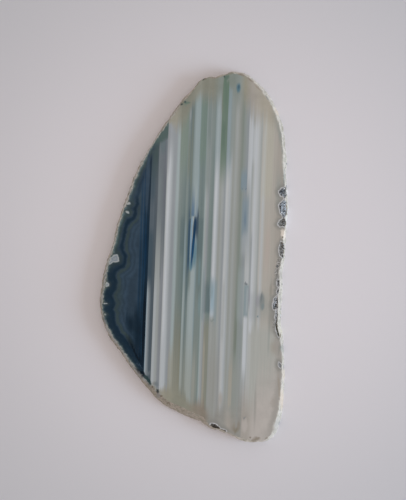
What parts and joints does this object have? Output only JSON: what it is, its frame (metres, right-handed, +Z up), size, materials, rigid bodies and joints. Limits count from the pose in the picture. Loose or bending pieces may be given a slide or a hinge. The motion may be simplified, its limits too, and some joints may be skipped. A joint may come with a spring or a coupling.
{
  "type": "agate slice",
  "caption": "Polished slice of banded agate with a straight-lined blue-green pattern, two flat faces, a rough natural rim and crystal-lined pockets along one side.",
  "frame": {"origin": "under the middle of the slice's outline, on the surface that its back face lies on", "axes": "+Z up out of the polished front face, +Y along the slice towards its narrow tip, +X towards the side with the crystal pockets"},
  "size_m": [0.0774, 0.1536, 0.0055],
  "materials": {
    "agate": "polished faces, rough natural rim"
  },
  "bodies": {
    "root": {"agate_slice": "agate"}
  },
  "joints": []
}
